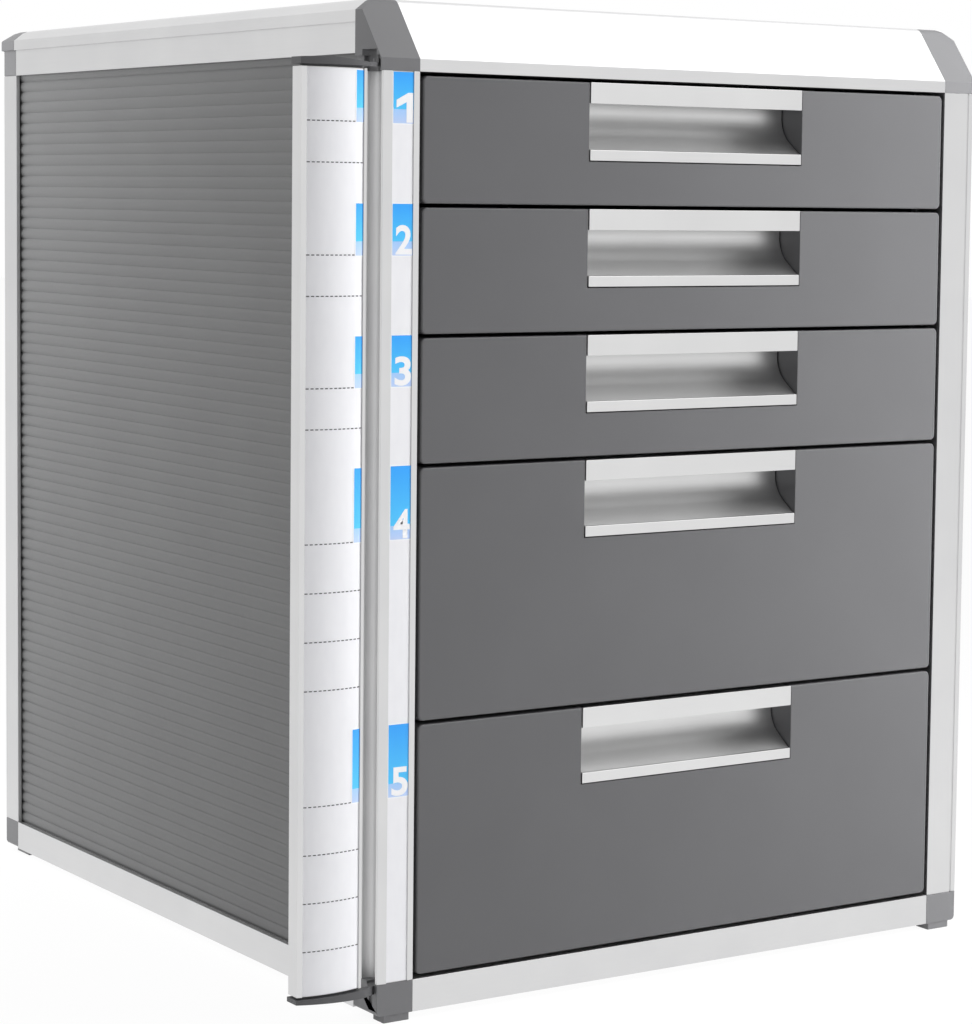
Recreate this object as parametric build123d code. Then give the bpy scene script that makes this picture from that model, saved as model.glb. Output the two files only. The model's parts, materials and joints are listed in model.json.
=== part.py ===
from build123d import *
import math
import os

# A small desk drawer cabinet: a frame of extruded aluminium posts and rails with plastic corners,
# ribbed side panels, three small and two large drawers, and an index flap hinged at the front left.
# Millimetres. X runs right along the front, Y to the back, Z up, and the feet stand on Z = 0.
# The shapes are drawn about the cabinet's own middle and moved to the origin when they are written.

# Overall
body_width = 300.0             # over the outer faces of the posts
body_depth = 361.0             # front face to back face of the frame
origin_shift_x = 17.65         # from the middle of the outline with the open flap to the cabinet's middle
origin_shift_y = 1.05          # the same, front to back

# Frame
post_width = 16.4
front_post_depth = 18.2
back_post_depth = 14.2
post_bulge = 0.7               # how far the front left post's face bulges
extrusion_wall = 1.4
foot_height = 3.0              # pads under the base rails
foot_corner_radius = 2.0       # rounding of a foot's lower outer edge
base_rail_height = 13.0
spigot_length = 12.0           # corner plugs inside the posts and rails
spigot_fit = 0.2
panel_slot_depth = 4.0         # how far a panel's edge sits in a post or rail
slot_fit = 0.15                # play on each side of a panel in its slot
edge_play = 0.4                # play at a panel's edges
post_groove_inset = 2.4        # decorative groove in the front right post
post_groove_width = 0.8
post_groove_depth = 0.6

# Roof edge
front_band_height = 4.9
front_rail_height = 28.3
crest_depth = 20.0             # where the front slope has become the flat top
slope_depth = 16.9
slope_rise = 21.6
slope_bend = (1.2, 0.75)       # bend of the slope's head: behind its upper end, below the top
front_rail_ledge = 4.0
side_rail_height = 21.1
lip_drop = 9.1                 # from the top down to the underside of the lip
lip_overhang = 1.0
lip_height = 4.6
chamfer_width = 3.5
crest_width = 2.5
crest_height = 1.0

# Panels
side_panel_recess = 2.2
side_panel_thickness = 3.0
rib_pitch = 5.0
rib_groove_width = 1.1
rib_groove_depth = 0.5
back_panel_recess = 3.8
sheet_thickness = 1.0          # back and bottom panels
top_panel_thickness = 2.0
panel_seat = 4.0               # ledge under the top and bottom panels
bottom_ledge_thickness = 1.5

# Drawers
gap = 1.5                      # shadow gap round each front
small_front_height = 49.1
small_drawers = 3
large_drawers = 2
front_skin = 2.0
front_rim = 2.0
front_depth = 17.5
front_corner_radius = 2.2
front_edge_radius = 0.8
tray_wall = 1.5
tray_side_play = 1.0           # tray to runner board
tray_lift = 3.2                # tray's underside above its front's lower edge
tray_drop = 8.0                # tray's side wall below its front's upper edge
tray_end_play = 0.9            # tray's rear edge before the runner boards' rear edge
stop_length = 65.0             # raised rear part of the tray's side wall
stop_height = 2.5
boss_radius = 3.4
boss_spacing = 200.0
boss_edge = 12.0               # lowest and highest bosses from the front's edges
screw_radius = 1.4
screw_head_radius = 2.8
screw_head_height = 1.6
screw_length = 12.0
hole_play = 0.05               # screw in a pilot hole
clear_hole_play = 0.3          # screw in a clearance hole

# Pull profile
pull_width = 107.8
pull_height = 31.2
pull_face_height = 8.4
pull_lip_height = 4.3
pull_proud = 0.4
pull_thickness = 1.4
scoop_depth = 13.4
scoop_radius = 12.5            # rounding of the scoop's rear wall
scoop_drop = 3.0               # from the face plate's lower edge down to where the rounding starts
scoop_sweep = 53.6             # degrees of rounding
notch_play = 0.4
notch_wall = 1.6

# Runner boards
board_thickness = 2.1
board_bottom = 8.0
ledge_width = 7.0
ledge_thickness = 2.2
ledge_play = 0.3
guide_width = 5.5
guide_thickness = 2.0
guide_play = 0.8
stop_tooth_length = 4.0
board_end_play = 0.4           # board's rear edge to the back posts
board_screw_inset = 5.0        # screw from the rail's edge
board_screw_setback = 20.0     # first and last screw from the posts
board_screws_per_row = 3

# Number strip in the front left post
strip_width = 9.6
strip_inset = 4.0              # from the post's outer face
strip_depth = 0.6              # the strip's face behind the bulge's crown
card_thickness = 0.3
card_play = 0.05
lip_cover = 0.6                # how far a lip laps over the card
lip_thickness = 0.4

# Finger groove in the front left post
groove_radius = 5.3
groove_inset = 1.0
groove_setback = 6.6

# Index flap, set out from its pivot
pivot_inset = 1.8              # pivot from the post's outer face
pivot_setback = 4.8            # pivot from the front face
flap_reach = 37.6              # pivot to the free edge
flap_near = 9.1                # pivot to the near edge
flap_forward_free = 5.3        # how far the face lies in front of the pivot at the free edge
flap_forward_mid = 7.4
flap_forward_near = 5.4
flap_mid = 24.1
flap_skin = 1.8
flap_edge_wall = 1.3
flap_free_return = 7.0         # depth of the free edge's wall
flap_near_return = 3.8
flap_card_near = 10.6
flap_card_far = 35.4
flap_end_gap = 0.8             # dark gap between the profile and an arm
arm_plate = 3.2
arm_tip_plate = 1.8            # the lower arm thins towards its tip
upper_tip_plate = 2.6          # the upper arm is thickest between its tip and its thin neck
upper_neck_plate = 1.6
upper_thick_place = 25.0
arm_play = 0.7                 # lower arm below the post's end
upper_arm_play = 1.3           # upper arm above the post's end
arm_lip = 0.5                  # arm's face in front of the profile
plug_length = 8.0
plug_thickness = 2.2
knuckle_radius = 3.0
pocket_play = 0.4
pin_radius = 1.5
pin_play = 0.06
lower_pin_length = 6.5
upper_pin_length = 2.6
slot_width = 2.5
cap_mouth_depth = 1.6          # side opening of the cap that clears the arm's neck
cap_mouth_length = 12.4
cap_mouth_height = 6.0
cap_mouth_inset = 2.2          # from the front face
cheek_mouth_inset = 1.0        # the same in the cap's overhanging cheek
cap_scoop_radius = 6.0         # round hollow above the mouth
cap_scoop_offset = 3.4         # its axis outside the post's outer face
cap_scoop_setback = 8.9
cap_scoop_height = 8.3

# Derived places
left = -body_width / 2
right = body_width / 2
front = -body_depth / 2
back = body_depth / 2
post_inner = left + post_width
front_post_back = front + front_post_depth
back_post_front = back - back_post_depth
base_top = foot_height + base_rail_height
large_front_height = 2 * small_front_height + gap
front_heights = [small_front_height] * small_drawers + [large_front_height] * large_drawers
opening_top = base_top + sum(front_heights) + gap * (len(front_heights) + 1)
total_height = opening_top + front_rail_height
side_rail_bottom = total_height - side_rail_height
lip_bottom = total_height - lip_drop
lip_top = lip_bottom + lip_height
crest_back = front + crest_depth
panel_outer = left + side_panel_recess
panel_inner = panel_outer + side_panel_thickness
slot_left = panel_outer - slot_fit
slot_right = panel_inner + slot_fit
sheet_back = back - back_panel_recess
sheet_front = sheet_back - sheet_thickness
board_face = post_inner + board_thickness
board_top = opening_top + front_rail_height / 2 + 1.0
tray_half = -board_face - tray_side_play
front_half = -post_inner - gap
tray_front = front + front_depth
tray_back = back_post_front - board_end_play - tray_end_play
pivot_x = left + pivot_inset
pivot_y = front + pivot_setback
bottom_ledge_top = foot_height + bottom_ledge_thickness + 0.5
slope_foot = (front, opening_top + front_band_height)
slope_head = (front + slope_depth, slope_foot[1] + slope_rise)
crest = (crest_back, total_height)
upper_arm_bottom = opening_top + upper_arm_play
lower_arm_top = base_top - arm_play


# Drawing helpers
def block(x0, x1, y0, y1, z0, z1):
    return Pos((x0 + x1) / 2, (y0 + y1) / 2, (z0 + z1) / 2) * Box(x1 - x0, y1 - y0, z1 - z0)


def rect(x0, x1, y0, y1):
    return Pos((x0 + x1) / 2, (y0 + y1) / 2) * Rectangle(x1 - x0, y1 - y0)


def polygon(*points):
    return make_face(Polyline(*points, close=True))


def along_x(outline, x0, x1):
    return extrude(Plane.YZ.offset(x0) * outline, x1 - x0)


def along_y(outline, y0, y1):
    return extrude(Plane.XZ.offset(-y1) * outline, y1 - y0)


def along_z(outline, z0, z1):
    return extrude(Plane.XY.offset(z0) * outline, z1 - z0)


def post(x, y, radius, z0, z1):
    return Pos(x, y, (z0 + z1) / 2) * Cylinder(radius, z1 - z0)


def mirrored(shape):
    return mirror(shape, about=Plane.YZ)


# Hollows of the extrusions; fit makes a plug that much smaller on every side
def front_post_hollow(fit=0.0):
    x0 = left + groove_inset + groove_radius + extrusion_wall
    x1 = post_inner - extrusion_wall
    return rect(x0 + fit, x1 - fit, front + extrusion_wall + fit, front_post_back - extrusion_wall - fit)


def back_post_hollow(fit=0.0):
    x0 = slot_right + extrusion_wall
    x1 = post_inner - panel_slot_depth - extrusion_wall
    return rect(x0 + fit, x1 - fit, back_post_front + extrusion_wall + fit, back - extrusion_wall - fit)


def side_base_hollow(fit=0.0):
    x0 = slot_right + extrusion_wall
    z0 = foot_height + extrusion_wall
    return rect(x0 + fit, post_inner - extrusion_wall - fit, z0 + fit, base_top - extrusion_wall - fit)


def front_base_hollow(fit=0.0):
    y1 = front_post_back - extrusion_wall
    z0 = foot_height + extrusion_wall
    return rect(front + extrusion_wall + fit, y1 - fit, z0 + fit, base_top - extrusion_wall - fit)


def back_base_hollow(fit=0.0):
    y1 = sheet_front - slot_fit - extrusion_wall
    z0 = foot_height + extrusion_wall
    return rect(back_post_front + extrusion_wall + fit, y1 - fit, z0 + fit, base_top - extrusion_wall - fit)


def side_top_hollow(fit=0.0):
    x0 = slot_right + extrusion_wall
    z1 = total_height - top_panel_thickness - extrusion_wall
    z0 = side_rail_bottom + extrusion_wall
    return rect(x0 + fit, post_inner - extrusion_wall - fit, z0 + fit, z1 - fit)


def back_top_hollow(fit=0.0):
    y1 = sheet_front - slot_fit - extrusion_wall
    z1 = total_height - top_panel_thickness - extrusion_wall
    z0 = side_rail_bottom + extrusion_wall
    return rect(back_post_front + extrusion_wall + fit, y1 - fit, z0 + fit, z1 - fit)


def front_top_hollow(fit=0.0):
    y0 = front + 1.3 * (extrusion_wall + fit)
    y1 = front_post_back - extrusion_wall - fit
    z0 = opening_top + extrusion_wall + fit
    bend = slope_foot[1]
    rise = 0.8 * slope_rise - fit
    return polygon((y0, z0), (y0, bend), (y0 + rise * slope_depth / slope_rise, bend + rise),
                   (y1, bend + rise), (y1, z0))


# Roof edge outlines
def sloped_outline(*rear):
    # The front band, the slope and its rounded head, closed by the points behind the crest
    start = (front, opening_top)
    run = Polyline(start, slope_foot, slope_head)
    bend = (slope_head[0] + slope_bend[0], total_height - slope_bend[1])
    curve = ThreePointArc(slope_head, bend, crest)
    rest = Polyline(crest, *rear, start)
    return make_face(Wire([*run.edges(), *curve.edges(), *rest.edges()]))


def front_top_outline():
    ledge = crest_back + front_rail_ledge
    return sloped_outline((ledge, total_height), (ledge, total_height - front_rail_ledge),
                          (front_post_back, board_top + 0.4), (front_post_back, opening_top))


def roof_side_points(edge, sign):
    # One side of the roof's outline from its foot to its flat top; sign is +1 where inward is positive
    return [
        (edge, opening_top),
        (edge, lip_bottom),
        (edge - sign * lip_overhang, lip_bottom),
        (edge - sign * lip_overhang, lip_top),
        (edge + sign * chamfer_width, total_height - crest_height),
        (edge + sign * (chamfer_width + crest_width), total_height),
    ]


def roof_body():
    across = roof_side_points(left, 1) + roof_side_points(right, -1)[::-1]
    along = sloped_outline(*roof_side_points(back, -1)[::-1])
    margin = 2 * lip_overhang
    body = along_y(polygon(*across), front - margin, back + margin) & along_x(along, left - margin, right + margin)
    return body - top_panel_pocket()


def top_panel_pocket():
    side = post_inner - panel_seat
    rear = back_post_front + panel_seat
    return block(side, -side, crest_back, rear, total_height - top_panel_thickness, total_height + 1)


# Posts
def front_left_post():
    middle = (left + post_inner) / 2
    inner = post_inner - 0.4
    bulge = ThreePointArc((left + 0.4, front), (middle, front - post_bulge), (inner, front))
    chord = Polyline((inner, front), (left + 0.4, front))
    outline = rect(left, post_inner, front, front_post_back)
    outline += make_face(Wire([*bulge.edges(), *chord.edges()]))
    outline -= Pos(left + groove_inset, front + groove_setback) * Circle(groove_radius)
    outline -= rect(slot_left, slot_right, front_post_back - panel_slot_depth, front_post_back)
    outline -= strip_window()
    outline -= strip_slot(card_play)
    outline -= front_post_hollow()
    return along_z(outline, base_top, opening_top)


def strip_face():
    # The depth at which the strip's slot starts, behind the lips
    return front - post_bulge + strip_depth


def strip_window():
    x0 = left + strip_inset
    return rect(x0, x0 + strip_width, front - 2, strip_face())


def strip_slot(play):
    x0 = left + strip_inset - lip_cover
    x1 = x0 + strip_width + 2 * lip_cover
    y0 = strip_face()
    return rect(x0 - play, x1 + play, y0, y0 + card_thickness + 2 * play)


def number_strip():
    x0 = left + strip_inset - lip_cover
    x1 = x0 + strip_width + 2 * lip_cover
    y0 = strip_face() + card_play
    return block(x0, x1, y0, y0 + card_thickness, base_top + edge_play, opening_top - edge_play)


def front_right_post():
    outline = rect(left, post_inner, front, front_post_back)
    groove = left + post_groove_inset
    outline -= rect(groove, groove + post_groove_width, front, front + post_groove_depth)
    outline -= rect(slot_left, slot_right, front_post_back - panel_slot_depth, front_post_back)
    outline -= front_post_hollow()
    return mirrored(along_z(outline, base_top, opening_top))


def back_left_post():
    outline = rect(left, post_inner, back_post_front, back)
    outline -= rect(slot_left, slot_right, back_post_front, back_post_front + panel_slot_depth)
    outline -= back_panel_slot(post_inner - panel_slot_depth, post_inner)
    outline -= back_post_hollow()
    return along_z(outline, base_top, side_rail_bottom)


def back_panel_slot(x0, x1):
    return rect(x0, x1, sheet_front - slot_fit, sheet_back + slot_fit)


# Base
def side_base_rail():
    outline = rect(left, post_inner, foot_height, base_top)
    outline += rect(post_inner, post_inner + panel_seat, foot_height + 0.5, bottom_ledge_top)
    outline -= rect(slot_left, slot_right, base_top - panel_slot_depth, base_top)
    outline -= side_base_hollow()
    return along_y(outline, front_post_back, back_post_front)


def front_base_rail():
    outline = rect(front, front_post_back, foot_height, base_top)
    outline -= front_base_hollow()
    rail = along_x(outline, post_inner, -post_inner)
    ledge = block(post_inner + panel_seat, -post_inner - panel_seat, front_post_back,
                  front_post_back + panel_seat, foot_height + 0.5, bottom_ledge_top)
    return rail + ledge


def back_base_rail():
    outline = rect(back_post_front, back, foot_height, base_top)
    outline -= rect(sheet_front - slot_fit, sheet_back + slot_fit, base_top - panel_slot_depth, base_top)
    outline -= back_base_hollow()
    rail = along_x(outline, post_inner, -post_inner)
    ledge = block(post_inner + panel_seat, -post_inner - panel_seat, back_post_front - panel_seat,
                  back_post_front, foot_height + 0.5, bottom_ledge_top)
    return rail + ledge


def bottom_panel():
    x = post_inner + edge_play
    z = bottom_ledge_top
    return block(x, -x, front_post_back + edge_play, back_post_front - edge_play, z, z + sheet_thickness)


def foot_pad(y0, y1):
    return block(left + 3.4, post_inner - 1.4, y0, y1, 0, foot_height)


def foot_block(y0, y1):
    # The visible block of a foot, rounded along its lower outer edge
    outline = rect(left, post_inner, foot_height, base_top)
    x = left + foot_corner_radius
    z = foot_height + foot_corner_radius
    outline -= rect(left, x, foot_height, z) - Pos(x, z) * Circle(foot_corner_radius)
    return along_y(outline, y0, y1)


def front_foot():
    body = foot_block(front, front_post_back)
    body += foot_pad(front + 0.4, front + 8.4)
    y0 = front_post_back
    body += along_z(front_post_hollow(spigot_fit), base_top, base_top + spigot_length)
    body += along_y(side_base_hollow(spigot_fit), y0, y0 + spigot_length)
    body += along_x(front_base_hollow(spigot_fit), post_inner, post_inner + spigot_length)
    return body - block(slot_left, slot_right, y0 - panel_slot_depth, y0, base_top - panel_slot_depth, base_top)


def back_foot():
    body = foot_block(back_post_front, back)
    body += foot_pad(back_post_front - 5.4, back - 5.8)
    y1 = back_post_front
    body += along_z(back_post_hollow(spigot_fit), base_top, base_top + spigot_length)
    body += along_y(side_base_hollow(spigot_fit), y1 - spigot_length, y1)
    body += along_x(back_base_hollow(spigot_fit), post_inner, post_inner + spigot_length)
    return body - back_corner_slots(base_top - panel_slot_depth, base_top)


def back_corner_slots(z0, z1):
    # Seats for the corners of a side panel and of the back panel
    side = block(slot_left, slot_right, back_post_front, back_post_front + panel_slot_depth, z0, z1)
    rear = block(post_inner - panel_slot_depth, post_inner, sheet_front - slot_fit, sheet_back + slot_fit, z0, z1)
    return side + rear


# Roof
def side_top_rail(roof):
    rail = roof & block(left - 2, post_inner, crest_back, back_post_front, side_rail_bottom, total_height)
    slot = block(slot_left, slot_right, crest_back, back_post_front,
                 side_rail_bottom, side_rail_bottom + panel_slot_depth)
    return rail - slot - along_y(side_top_hollow(), crest_back, back_post_front)


def front_top_rail():
    rail = along_x(front_top_outline(), post_inner, -post_inner) - top_panel_pocket()
    return rail - along_x(front_top_hollow(), post_inner, -post_inner)


def back_top_rail(roof):
    rail = roof & block(post_inner, -post_inner, back_post_front, back + 2, side_rail_bottom, total_height)
    slot = block(post_inner, -post_inner, sheet_front - slot_fit, sheet_back + slot_fit,
                 side_rail_bottom, side_rail_bottom + panel_slot_depth)
    return rail - slot - along_x(back_top_hollow(), post_inner, -post_inner)


def top_panel():
    side = post_inner - panel_seat + edge_play
    rear = back_post_front + panel_seat - edge_play
    z0 = total_height - top_panel_thickness
    return block(side, -side, crest_back + edge_play, rear, z0, total_height)


def front_cap(roof):
    body = roof & block(left - 2, post_inner, front - 1, crest_back, opening_top, total_height)
    body += along_x(cheek_outline(), left - lip_overhang, left)
    body -= block(slot_left, slot_right, front_post_back - panel_slot_depth, crest_back,
                  opening_top, side_rail_bottom + panel_slot_depth)
    body += along_z(front_post_hollow(spigot_fit), opening_top - spigot_length, opening_top)
    body += along_y(side_top_hollow(spigot_fit), crest_back, crest_back + spigot_length)
    body += along_x(front_top_hollow(spigot_fit), post_inner, post_inner + spigot_length)
    return body


def cheek_outline():
    # Below the lip a front cap's side stays in the plane of the lip
    slope_y = front + (lip_bottom - slope_foot[1]) * slope_depth / slope_rise
    return polygon((front, opening_top), slope_foot, (slope_y, lip_bottom), (crest_back, lip_bottom),
                   (crest_back, opening_top))


def back_cap(roof):
    body = roof & block(left - 2, post_inner, back_post_front, back + 2, side_rail_bottom, total_height)
    y1 = back_post_front
    body += along_z(back_post_hollow(spigot_fit), side_rail_bottom - spigot_length, side_rail_bottom)
    body += along_y(side_top_hollow(spigot_fit), y1 - spigot_length, y1)
    body += along_x(back_top_hollow(spigot_fit), post_inner, post_inner + spigot_length)
    return body - back_corner_slots(side_rail_bottom, side_rail_bottom + panel_slot_depth)


# Side and back panels
def side_panel():
    z0 = base_top - panel_slot_depth + edge_play
    z1 = side_rail_bottom + panel_slot_depth - edge_play
    outline = rect(panel_outer, panel_inner, z0, z1)
    grooves = int((side_rail_bottom - base_top) // rib_pitch)
    for index in range(grooves + 1):
        z = base_top + rib_pitch * index
        notch = polygon((panel_outer - 0.1, z - rib_groove_width / 2), (panel_outer - 0.1, z + rib_groove_width / 2),
                        (panel_outer + rib_groove_depth, z))
        outline -= notch
    y0 = front_post_back - panel_slot_depth + edge_play
    y1 = back_post_front + panel_slot_depth - edge_play
    return along_y(outline, y0, y1)


def back_panel():
    x0 = post_inner - panel_slot_depth + edge_play
    z0 = base_top - panel_slot_depth + edge_play
    z1 = side_rail_bottom + panel_slot_depth - edge_play
    return block(x0, -x0, sheet_front, sheet_back, z0, z1)


# Drawers: each has its front's lower edge and height
def drawer_places():
    top = opening_top - gap
    places = []
    for height in front_heights:
        places.append((top - height, height))
        top -= height + gap
    return places


def notch_half():
    return pull_width / 2 + notch_play


def drawer_front(z0, height):
    z1 = z0 + height
    sheet = Pos(0, (z0 + z1) / 2) * RectangleRounded(2 * front_half, height, front_corner_radius)
    shell = along_y(sheet, front, tray_front)
    shell = fillet(shell.faces().sort_by(Axis.Y)[0].edges(), front_edge_radius)
    inside = front_half - front_rim
    shell -= block(-inside, inside, front + front_skin, tray_front + 1, z0 + front_rim, z1 - front_rim)
    half = notch_half()
    wall = half + notch_wall
    shelf = z1 - pull_height - notch_play
    seat = front + scoop_depth + pull_thickness
    shell += block(-wall, wall, front + front_skin, seat + notch_wall, shelf - notch_wall, z1 - front_rim)
    shell -= block(-half, half, front - 1, seat, shelf, z1 + 1)
    for x, z in boss_places(z0, height):
        boss = cylinder_y(x, z, boss_radius, front + front_skin, tray_front)
        shell += boss
        shell -= cylinder_y(x, z, screw_radius + hole_play, tray_front - screw_length, tray_front)
    return shell


def boss_places(z0, height):
    rows = [z0 + boss_edge, z0 + height - tray_drop - boss_edge / 2 - 1]
    return [(side * boss_spacing / 2, z) for side in (-1, 1) for z in rows]


def cylinder_y(x, z, radius, y0, y1):
    return Pos(x, (y0 + y1) / 2, z) * Rot(90, 0, 0) * Cylinder(radius, y1 - y0)


def drawer_tray(z0, height):
    bottom = z0 + tray_lift
    side_top = z0 + height - tray_drop
    rear_top = side_top + stop_height
    stop_front = tray_back - stop_length
    shell = block(-tray_half, tray_half, tray_front, tray_back, bottom, side_top)
    shell += block(-tray_half, tray_half, stop_front, tray_back, side_top, rear_top)
    inside = tray_half - tray_wall
    shell -= block(-inside, inside, tray_front + tray_wall, tray_back - tray_wall, bottom + tray_wall, rear_top + 1)
    for x, z in boss_places(z0, height):
        shell -= cylinder_y(x, z, screw_radius + clear_hole_play, tray_front - 1, tray_front + tray_wall + 1)
    return shell


def drawer_screws(z0, height):
    inner = tray_front + tray_wall
    screws = []
    for x, z in boss_places(z0, height):
        shank = cylinder_y(x, z, screw_radius, inner - screw_length + 1, inner)
        head = cylinder_y(x, z, screw_head_radius, inner, inner + screw_head_height)
        screws.append(shank + head)
    return screws


def scoop_point(top, radius, angle):
    # A point on the scoop's round rear wall, from level (0) down to where it runs out to the lip
    y = front + scoop_depth - scoop_radius + radius * math.cos(math.radians(angle))
    return (y, top - pull_face_height - scoop_drop - radius * math.sin(math.radians(angle)))


def pull_outline(top):
    low = top - pull_height
    face = front - pull_proud
    behind = face + pull_thickness
    roof = top - pull_thickness
    outer = scoop_radius + pull_thickness
    inside = [scoop_point(top, scoop_radius, angle) for angle in (scoop_sweep, scoop_sweep / 2, 0)]
    outside = [scoop_point(top, outer, angle) for angle in (0, scoop_sweep / 2, scoop_sweep)]
    fall = math.tan(math.radians(90 - scoop_sweep))
    under = (behind, outside[2][1] - (outside[2][0] - behind) * fall)
    front_side = Polyline(under, (behind, low), (face, low), (face, low + pull_lip_height),
                          (behind, low + pull_lip_height + 0.3), inside[0])
    back_side = Polyline(inside[2], (inside[2][0], roof), (behind, roof), (behind, top - pull_face_height),
                         (face, top - pull_face_height), (face, top), (outside[0][0], top), outside[0])
    closing = Polyline(outside[2], under)
    edges = [*front_side.edges(), *ThreePointArc(*inside).edges(), *back_side.edges(),
             *ThreePointArc(*outside).edges(), *closing.edges()]
    return make_face(Wire(edges))


def pull_profile(top):
    half = pull_width / 2
    return along_x(pull_outline(top), -half, half)


# Runner boards
def runner_board():
    y1 = back_post_front - board_end_play
    board = block(post_inner, board_face, front_post_back, y1, board_bottom, board_top)
    for z0, height in drawer_places():
        ledge_top = z0 + tray_lift - ledge_play
        board += block(board_face, board_face + ledge_width, front_post_back, y1,
                       ledge_top - ledge_thickness, ledge_top)
        guide_bottom = z0 + height - tray_drop + stop_height + guide_play
        board += block(board_face, board_face + guide_width, front_post_back, y1,
                       guide_bottom, guide_bottom + guide_thickness)
        board += block(board_face, board_face + guide_width, front_post_back,
                       front_post_back + stop_tooth_length, guide_bottom - stop_height, guide_bottom)
    for y, z in board_screw_places():
        hole = cylinder_x(y, z, screw_radius + hole_play, post_inner - 1, board_face + 1)
        board -= hole
    return board


def board_screw_places():
    y0 = front_post_back + board_screw_setback
    y1 = back_post_front - board_screw_setback
    step = (y1 - y0) / (board_screws_per_row - 1)
    rows = [base_top - board_screw_inset, side_rail_bottom + board_screw_inset - 1]
    return [(y0 + step * index, z) for z in rows for index in range(board_screws_per_row)]


def cylinder_x(y, z, radius, x0, x1):
    return Pos((x0 + x1) / 2, y, z) * Rot(0, 90, 0) * Cylinder(radius, x1 - x0)


def board_screw(y, z):
    shank = cylinder_x(y, z, screw_radius, post_inner - 4, board_face)
    head = cylinder_x(y, z, screw_head_radius, board_face, board_face + screw_head_height / 2)
    return shank + head


def drilled_for_board(rail):
    for y, z in board_screw_places():
        rail -= cylinder_x(y, z, screw_radius + hole_play, post_inner - 6, post_inner + 1)
    return rail


# Index flap: points are set out from the pivot, out to the left and to the front
def flap_point(out, forward):
    return (pivot_x - out, pivot_y - forward)


def flap_band(outer, inner, near, far):
    # A slice of the flap's curved sheet between two depths behind its face
    a = flap_point(flap_near, flap_forward_near)
    b = flap_point(flap_mid, flap_forward_mid)
    c = flap_point(flap_reach, flap_forward_free)
    circle = ThreePointArc(a, b, c)
    centre = circle.arc_center
    radius = circle.radius
    ring = Pos(centre.X, centre.Y) * (Circle(radius - outer) - Circle(radius - inner))
    window = rect(pivot_x - far, pivot_x - near, pivot_y - 3 * flap_forward_mid, pivot_y)
    return ring & window


def flap_profile():
    far_x = pivot_x - flap_reach
    near_x = pivot_x - flap_near
    face_free = pivot_y - flap_forward_free
    face_near = pivot_y - flap_forward_near
    outline = flap_band(0, flap_skin, flap_near, flap_reach)
    outline += rect(far_x, far_x + flap_edge_wall, face_free + 0.3, face_free + flap_free_return)
    outline += rect(near_x - flap_edge_wall, near_x, face_near + 0.3, face_near + flap_near_return)
    outline -= flap_band(-1, lip_thickness, flap_card_near, flap_card_far)
    outline -= flap_band(lip_thickness, lip_thickness + card_thickness + 2 * card_play,
                         flap_card_near - lip_cover, flap_card_far + lip_cover)
    return along_z(outline, flap_bottom(), flap_top())


def flap_bottom():
    return lower_arm_top + flap_end_gap


def flap_top():
    return upper_arm_bottom - flap_end_gap


def flap_card():
    outer = lip_thickness + card_play
    band = flap_band(outer, outer + card_thickness, flap_card_near - lip_cover + card_play,
                     flap_card_far + lip_cover - card_play)
    return along_z(band, flap_bottom() + edge_play, flap_top() - edge_play)


def arm_outline():
    # Plan of an end arm: curved face, square free end, back edge drawn in towards the neck
    far = flap_reach + arm_lip
    near = flap_point(flap_near - 1.5, flap_forward_near + arm_lip)
    crown = flap_point(flap_mid, flap_forward_mid + arm_lip)
    tip = flap_point(far, flap_forward_free + arm_lip)
    rest = Polyline(tip, flap_point(far, flap_forward_free - flap_free_return), flap_point(flap_near + 2, 0.9),
                    flap_point(4.4, 1.85), flap_point(2.9, 1.75), flap_point(0.4, 0.6), flap_point(0.4, 1.9),
                    flap_point(1.8, 2.5), flap_point(3.6, 4.0), near)
    arm = make_face(Wire([*ThreePointArc(near, crown, tip).edges(), *rest.edges()]))
    return arm + Pos(pivot_x, pivot_y) * Circle(knuckle_radius)


def lower_arm():
    top = lower_arm_top
    arm = along_z(arm_outline(), top - arm_plate, top)
    taper = polygon((pivot_x - flap_reach - 2, top - arm_plate - 1), (pivot_x - flap_reach - 2, top - arm_tip_plate),
                    (pivot_x - flap_near, top - arm_plate), (pivot_x - flap_near, top - arm_plate - 1))
    arm -= along_y(taper, pivot_y - 20, pivot_y + 20)
    arm += along_z(arm_plug(), top, flap_bottom() + plug_length)
    arm += post(pivot_x, pivot_y, pin_radius, top - arm_plate - lower_pin_length, top)
    return arm


def upper_arm():
    bottom = upper_arm_bottom
    top = bottom + arm_plate
    tip_x = pivot_x - flap_reach - 2
    neck_x = pivot_x - knuckle_radius - pocket_play
    arm = along_z(arm_outline(), bottom, top)
    taper = polygon((tip_x, top + 1), (tip_x, bottom + upper_tip_plate), (pivot_x - upper_thick_place, top),
                    (pivot_x - flap_near, bottom + upper_neck_plate), (neck_x, bottom + upper_neck_plate),
                    (neck_x, top + 1))
    arm -= along_y(taper, pivot_y - 20, pivot_y + 20)
    arm += along_z(arm_plug(), flap_top() - plug_length, bottom)
    arm += post(pivot_x, pivot_y, pin_radius, bottom, top + upper_pin_length)
    return arm


def arm_plug():
    # The plug lies against the back of the profile's curved sheet
    inner = flap_skin + card_play
    return flap_band(inner, inner + plug_thickness, flap_near + flap_edge_wall + card_play,
                     flap_reach - flap_edge_wall - card_play)


def lower_pocket():
    top = lower_arm_top
    floor = top - arm_plate - pocket_play
    cut = post(pivot_x, pivot_y, knuckle_radius + pocket_play, floor, base_top + 1)
    cut += post(pivot_x, pivot_y, pin_radius + pin_play, floor - lower_pin_length, floor + 1)
    cut += block(left - 1, pivot_x, pivot_y - slot_width / 2, pivot_y + slot_width / 2,
                 floor - lower_pin_length, floor + 1)
    return cut & block(left - 1, pivot_x + 5, front + 0.2, front + 20, 0, base_top)


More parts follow.
